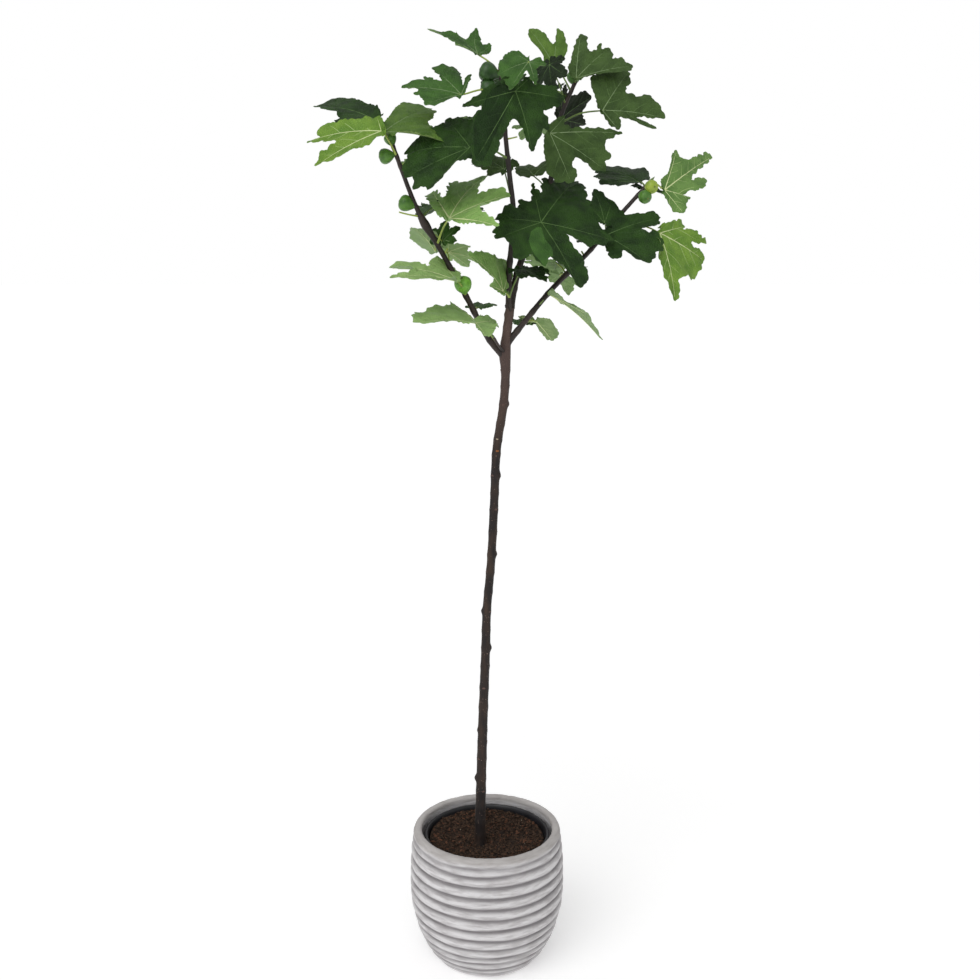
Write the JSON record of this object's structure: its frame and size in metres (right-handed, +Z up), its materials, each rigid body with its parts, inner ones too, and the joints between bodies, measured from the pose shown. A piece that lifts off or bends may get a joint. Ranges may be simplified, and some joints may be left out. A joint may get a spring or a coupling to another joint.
{
  "type": "fig tree in a pot",
  "caption": "Young fig tree grown as a standard: bare upright trunk, forked crown of big lobed leaves with green figs, in a ribbed barrel-shaped clay pot.",
  "frame": {"origin": "middle of the pot's flat underside", "axes": "+Z up along the trunk, +X to the right seen from the front, +Y towards the back"},
  "size_m": [0.7115, 0.3793, 1.7566],
  "materials": {
    "clay": "pale grey-white limewashed clay, combed into rough ribs",
    "nursery_plastic": "thin black moulded plastic, satin",
    "soil": "crumbly dark potting compost with bits of bark",
    "bark": "smooth dark purplish brown bark with leaf scars",
    "foliage": "green lobed leaves with pale veins, satin above and matt below"
  },
  "bodies": {
    "root": {"pot": "clay", "nursery_pot": "nursery_plastic", "soil": "soil", "trunk": "bark", "bough_left": "bark", "bough_right": "bark", "bough_front": "bark", "bough_back": "bark", "foliage_left": "foliage", "foliage_right": "foliage", "foliage_front": "foliage", "foliage_back": "foliage", "foliage_low_left": "foliage", "foliage_low_right": "foliage", "foliage_low_front": "foliage"}
  },
  "joints": []
}
